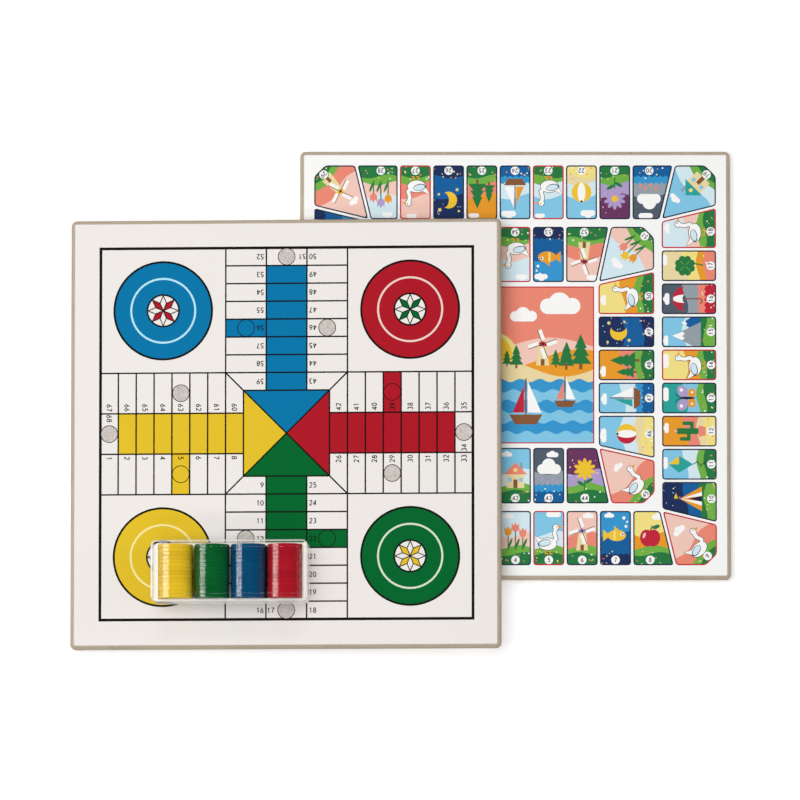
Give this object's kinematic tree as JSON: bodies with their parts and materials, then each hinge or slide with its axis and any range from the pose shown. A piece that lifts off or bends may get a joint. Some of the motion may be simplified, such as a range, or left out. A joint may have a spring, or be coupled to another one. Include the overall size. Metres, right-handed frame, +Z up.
{
  "type": "parcheesi and goose board set",
  "caption": "Two square reversible game boards, parcheesi on one face and a goose spiral on the other, with a clear lidded box of stacked coloured counters.",
  "frame": {"origin": "middle of the face that the lower board rests on", "axes": "+Z up out of the table, +X to the right along the two boards, +Y away from the player at the front"},
  "size_m": [0.5054, 0.3838, 0.0515],
  "materials": {
    "fibreboard": "routed and sealed, satin",
    "printed_laminate": "printed, satin",
    "clear_plastic": "clear moulded polystyrene",
    "yellow_plastic": "moulded, glossy",
    "green_plastic": "moulded, glossy",
    "blue_plastic": "moulded, glossy",
    "red_plastic": "moulded, glossy"
  },
  "bodies": {
    "lower_board": {"lower_board_core": "fibreboard", "lower_board_goose_sheet": "printed_laminate", "lower_board_parcheesi_sheet": "printed_laminate"},
    "upper_board": {"upper_board_core": "fibreboard", "upper_board_parcheesi_sheet": "printed_laminate", "upper_board_goose_sheet": "printed_laminate"},
    "counter_tray": {"counter_tray": "clear_plastic"},
    "counter_lid": {"counter_lid": "clear_plastic"},
    "yellow_stack": {"yellow_counter_01": "yellow_plastic", "yellow_counter_02": "yellow_plastic", "yellow_counter_03": "yellow_plastic", "yellow_counter_04": "yellow_plastic", "yellow_counter_05": "yellow_plastic", "yellow_counter_06": "yellow_plastic", "yellow_counter_07": "yellow_plastic", "yellow_counter_08": "yellow_plastic", "yellow_counter_09": "yellow_plastic", "yellow_counter_10": "yellow_plastic", "yellow_counter_11": "yellow_plastic", "yellow_counter_12": "yellow_plastic", "yellow_counters_at_back": "yellow_plastic"},
    "green_stack": {"green_counter_01": "green_plastic", "green_counter_02": "green_plastic", "green_counter_03": "green_plastic", "green_counter_04": "green_plastic", "green_counter_05": "green_plastic", "green_counter_06": "green_plastic", "green_counter_07": "green_plastic", "green_counter_08": "green_plastic", "green_counter_09": "green_plastic", "green_counter_10": "green_plastic", "green_counter_11": "green_plastic", "green_counter_12": "green_plastic", "green_counters_at_back": "green_plastic"},
    "blue_stack": {"blue_counter_01": "blue_plastic", "blue_counter_02": "blue_plastic", "blue_counter_03": "blue_plastic", "blue_counter_04": "blue_plastic", "blue_counter_05": "blue_plastic", "blue_counter_06": "blue_plastic", "blue_counter_07": "blue_plastic", "blue_counter_08": "blue_plastic", "blue_counter_09": "blue_plastic", "blue_counter_10": "blue_plastic", "blue_counter_11": "blue_plastic", "blue_counter_12": "blue_plastic", "blue_counters_at_back": "blue_plastic"},
    "red_stack": {"red_counter_01": "red_plastic", "red_counter_02": "red_plastic", "red_counter_03": "red_plastic", "red_counter_04": "red_plastic", "red_counter_05": "red_plastic", "red_counter_06": "red_plastic", "red_counter_07": "red_plastic", "red_counter_08": "red_plastic", "red_counter_09": "red_plastic", "red_counter_10": "red_plastic", "red_counter_11": "red_plastic", "red_counter_12": "red_plastic", "red_counters_at_back": "red_plastic"}
  },
  "joints": [
    {"name": "upper_board_lift", "type": "slide", "parent": "lower_board", "child": "upper_board", "axis": [0, 0, 1], "range_m": [0, 0.12]},
    {"name": "counter_box_lift", "type": "slide", "parent": "upper_board", "child": "counter_tray", "axis": [-0.0588, 0, 0.9983], "range_m": [0, 0.1]},
    {"name": "lid_lift", "type": "slide", "parent": "counter_tray", "child": "counter_lid", "axis": [-0.0588, 0, 0.9983], "range_m": [0, 0.06]},
    {"name": "yellow_stack_roll", "type": "hinge", "parent": "counter_tray", "child": "yellow_stack", "pos_m": [-0.25967, -0.161, 0.02985], "axis": [0, 1, 0], "continuous": true},
    {"name": "green_stack_roll", "type": "hinge", "parent": "counter_tray", "child": "green_stack", "pos_m": [-0.23182, -0.161, 0.03148], "axis": [0, 1, 0], "continuous": true},
    {"name": "blue_stack_roll", "type": "hinge", "parent": "counter_tray", "child": "blue_stack", "pos_m": [-0.20397, -0.161, 0.03312], "axis": [0, 1, 0], "continuous": true},
    {"name": "red_stack_roll", "type": "hinge", "parent": "counter_tray", "child": "red_stack", "pos_m": [-0.17611, -0.161, 0.03476], "axis": [0, 1, 0], "continuous": true}
  ]
}
